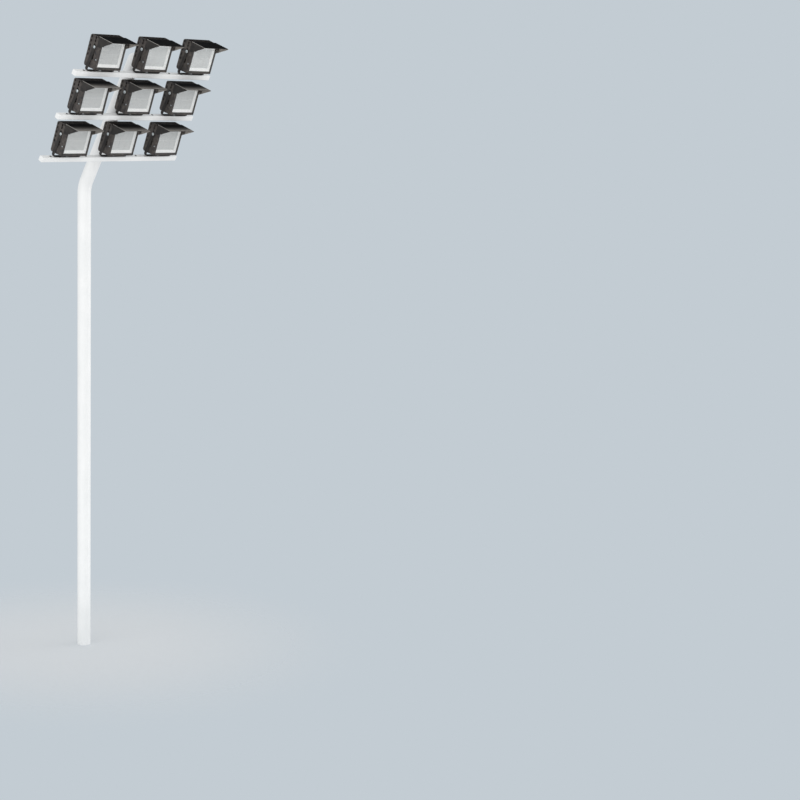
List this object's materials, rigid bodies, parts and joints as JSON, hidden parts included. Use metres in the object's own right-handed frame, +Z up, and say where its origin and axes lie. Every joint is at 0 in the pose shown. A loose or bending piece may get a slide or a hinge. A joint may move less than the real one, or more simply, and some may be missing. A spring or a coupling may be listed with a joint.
{
  "type": "stadium floodlight pylon",
  "caption": "White tube mast with a forward-cranked head and square crossbars of hooded black LED floodlights in tilting U-brackets.",
  "frame": {"origin": "middle of the mast's foot, on the flat end face at ground level", "axes": "+Z up along the mast, X along the crossbars, the head leans and the lamps face towards -Y"},
  "size_m": [3.225, 2.2367, 10.932],
  "materials": {
    "mast_paint": "white gloss paint on galvanised steel tube",
    "bracket_black": "black powder coat on flat steel",
    "housing_black": "black powder coat on cast aluminium",
    "led_white": "white moulded reflector with an LED board",
    "visor_black": "black powder coat on sheet steel"
  },
  "bodies": {
    "mast": {"mast_shaft": "mast_paint", "mast_knee": "mast_paint", "head_arm": "mast_paint", "crossbar_bottom": "mast_paint", "crossbar_stub_bottom": "mast_paint", "crossbar_middle": "mast_paint", "crossbar_stub_middle": "mast_paint", "crossbar_top": "mast_paint", "crossbar_stub_top": "mast_paint", "bracket_bottom_left": "bracket_black", "bracket_bottom_centre": "bracket_black", "bracket_bottom_right": "bracket_black", "bracket_middle_left": "bracket_black", "bracket_middle_centre": "bracket_black", "bracket_middle_right": "bracket_black", "bracket_top_left": "bracket_black", "bracket_top_centre": "bracket_black", "bracket_top_right": "bracket_black"},
    "lamp_bottom_left": {"housing_bottom_left": "housing_black", "led_panel_bottom_left": "led_white", "visor_bottom_left": "visor_black"},
    "lamp_bottom_centre": {"housing_bottom_centre": "housing_black", "led_panel_bottom_centre": "led_white", "visor_bottom_centre": "visor_black"},
    "lamp_bottom_right": {"housing_bottom_right": "housing_black", "led_panel_bottom_right": "led_white", "visor_bottom_right": "visor_black"},
    "lamp_middle_left": {"housing_middle_left": "housing_black", "led_panel_middle_left": "led_white", "visor_middle_left": "visor_black"},
    "lamp_middle_centre": {"housing_middle_centre": "housing_black", "led_panel_middle_centre": "led_white", "visor_middle_centre": "visor_black"},
    "lamp_middle_right": {"housing_middle_right": "housing_black", "led_panel_middle_right": "led_white", "visor_middle_right": "visor_black"},
    "lamp_top_left": {"housing_top_left": "housing_black", "led_panel_top_left": "led_white", "visor_top_left": "visor_black"},
    "lamp_top_centre": {"housing_top_centre": "housing_black", "led_panel_top_centre": "led_white", "visor_top_centre": "visor_black"},
    "lamp_top_right": {"housing_top_right": "housing_black", "led_panel_top_right": "led_white", "visor_top_right": "visor_black"}
  },
  "joints": [
    {"name": "tilt_bottom_left", "type": "hinge", "parent": "mast", "child": "lamp_bottom_left", "pos_m": [-1.1, -0.91177, 9.27357], "axis": [1, 0, 0], "range_deg": [-20, 25]},
    {"name": "tilt_bottom_centre", "type": "hinge", "parent": "mast", "child": "lamp_bottom_centre", "pos_m": [0, -0.91177, 9.27357], "axis": [1, 0, 0], "range_deg": [-20, 25]},
    {"name": "tilt_bottom_right", "type": "hinge", "parent": "mast", "child": "lamp_bottom_right", "pos_m": [1.1, -0.91177, 9.27357], "axis": [1, 0, 0], "range_deg": [-20, 25]},
    {"name": "tilt_middle_left", "type": "hinge", "parent": "mast", "child": "lamp_middle_left", "pos_m": [-1.1, -1.31125, 9.99426], "axis": [1, 0, 0], "range_deg": [-20, 25]},
    {"name": "tilt_middle_centre", "type": "hinge", "parent": "mast", "child": "lamp_middle_centre", "pos_m": [0, -1.31125, 9.99426], "axis": [1, 0, 0], "range_deg": [-20, 25]},
    {"name": "tilt_middle_right", "type": "hinge", "parent": "mast", "child": "lamp_middle_right", "pos_m": [1.1, -1.31125, 9.99426], "axis": [1, 0, 0], "range_deg": [-20, 25]},
    {"name": "tilt_top_left", "type": "hinge", "parent": "mast", "child": "lamp_top_left", "pos_m": [-1.1, -1.71074, 10.71494], "axis": [1, 0, 0], "range_deg": [-20, 25]},
    {"name": "tilt_top_centre", "type": "hinge", "parent": "mast", "child": "lamp_top_centre", "pos_m": [0, -1.71074, 10.71494], "axis": [1, 0, 0], "range_deg": [-20, 25]},
    {"name": "tilt_top_right", "type": "hinge", "parent": "mast", "child": "lamp_top_right", "pos_m": [1.1, -1.71074, 10.71494], "axis": [1, 0, 0], "range_deg": [-20, 25]}
  ]
}
